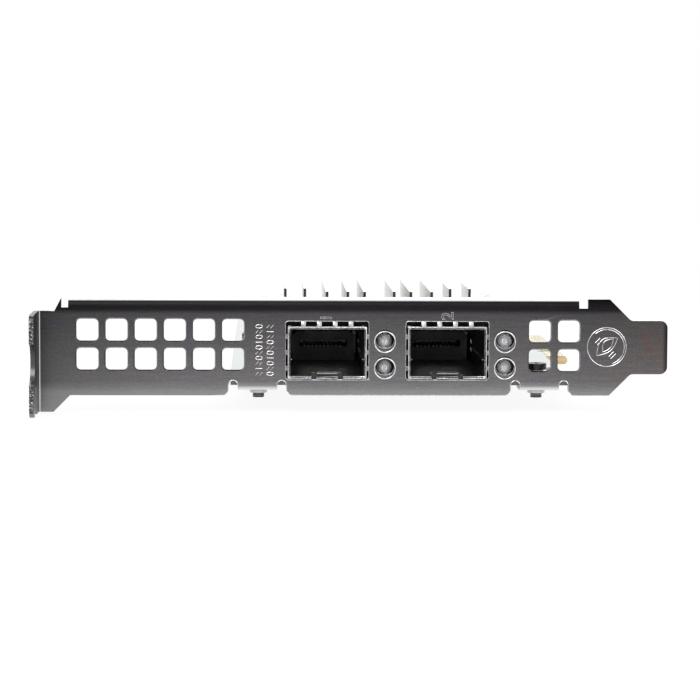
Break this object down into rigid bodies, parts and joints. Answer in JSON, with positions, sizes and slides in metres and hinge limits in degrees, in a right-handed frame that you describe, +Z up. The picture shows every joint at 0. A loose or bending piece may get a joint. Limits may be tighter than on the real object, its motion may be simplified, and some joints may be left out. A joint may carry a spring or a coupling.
{
  "type": "network interface card",
  "caption": "Add-in network card with two caged ports, a folded full-height slot bracket with vents and indicator lamps, a board with an edge connector and a finned heatsink.",
  "frame": {"origin": "on the axis of the screw that holds the bracket's tab, in the plane of the tab's seat face", "axes": "+X from the bracket's tab to its tongue, +Y from the outside of the bracket into the card, +Z up from the board's component side"},
  "size_m": [0.1201, 0.1549, 0.0216],
  "materials": {
    "board_laminate": "green solder mask on glass laminate",
    "bracket_steel": "zinc-plated sheet, fine brushed grain",
    "cage_steel": "tin-plated folded sheet",
    "can_aluminium": "drawn can",
    "capacitor_ceramic": "fired ceramic with tinned ends",
    "chip_mould": "moulded epoxy, fine grain",
    "contact_gold": "hard gold plating",
    "crystal_ceramic": "fired ceramic",
    "crystal_metal": "seam-welded lid",
    "holder_plastic": "moulded",
    "inductor_ferrite": "pressed ferrite powder",
    "lamp_resin": "water-clear epoxy",
    "lead_tin": "tinned",
    "pad_silicone": "soft filled silicone",
    "pin_gold": "gold-plated spring alloy",
    "pin_nylon": "moulded nylon",
    "resistor_film": "film on ceramic with tinned ends",
    "screw_steel": "plated",
    "sink_aluminium": "extruded, clear finish",
    "socket_plastic": "moulded, glass-filled",
    "spring_copper": "tin-plated spring alloy",
    "spring_steel": "drawn wire",
    "tantalum_resin": "moulded epoxy"
  },
  "bodies": {
    "root": {"bracket": "bracket_steel", "bracket_screws": "screw_steel", "cage_one": "cage_steel", "cage_springs_one": "spring_copper", "cage_springs_two": "spring_copper", "cage_two": "cage_steel", "capacitor_cans": "can_aluminium", "capacitor_feet": "holder_plastic", "ceramic_capacitors": "capacitor_ceramic", "chip_resistors": "resistor_film", "circuit_board": "board_laminate", "controller_chip": "chip_mould", "crystal_lid": "crystal_metal", "crystal_tray": "crystal_ceramic", "edge_contacts_component_side": "contact_gold", "edge_contacts_solder_side": "contact_gold", "flash_leads": "lead_tin", "flash_memory": "chip_mould", "front_arrays": "chip_mould", "heatsink": "sink_aluminium", "heatsink_pins": "pin_nylon", "heatsink_springs": "spring_steel", "lamp_holder_one": "holder_plastic", "lamp_holder_two": "holder_plastic", "lamp_leads": "lead_tin", "lamp_one_lower": "lamp_resin", "lamp_one_upper": "lamp_resin", "lamp_two_lower": "lamp_resin", "lamp_two_upper": "lamp_resin", "logic_chips": "chip_mould", "port_pins_one": "pin_gold", "port_pins_two": "pin_gold", "port_socket_one": "socket_plastic", "port_socket_two": "socket_plastic", "power_inductors": "inductor_ferrite", "regulator_chips": "chip_mould", "tantalum_capacitors": "tantalum_resin", "thermal_pad": "pad_silicone", "underside_capacitors": "capacitor_ceramic"}
  },
  "joints": []
}
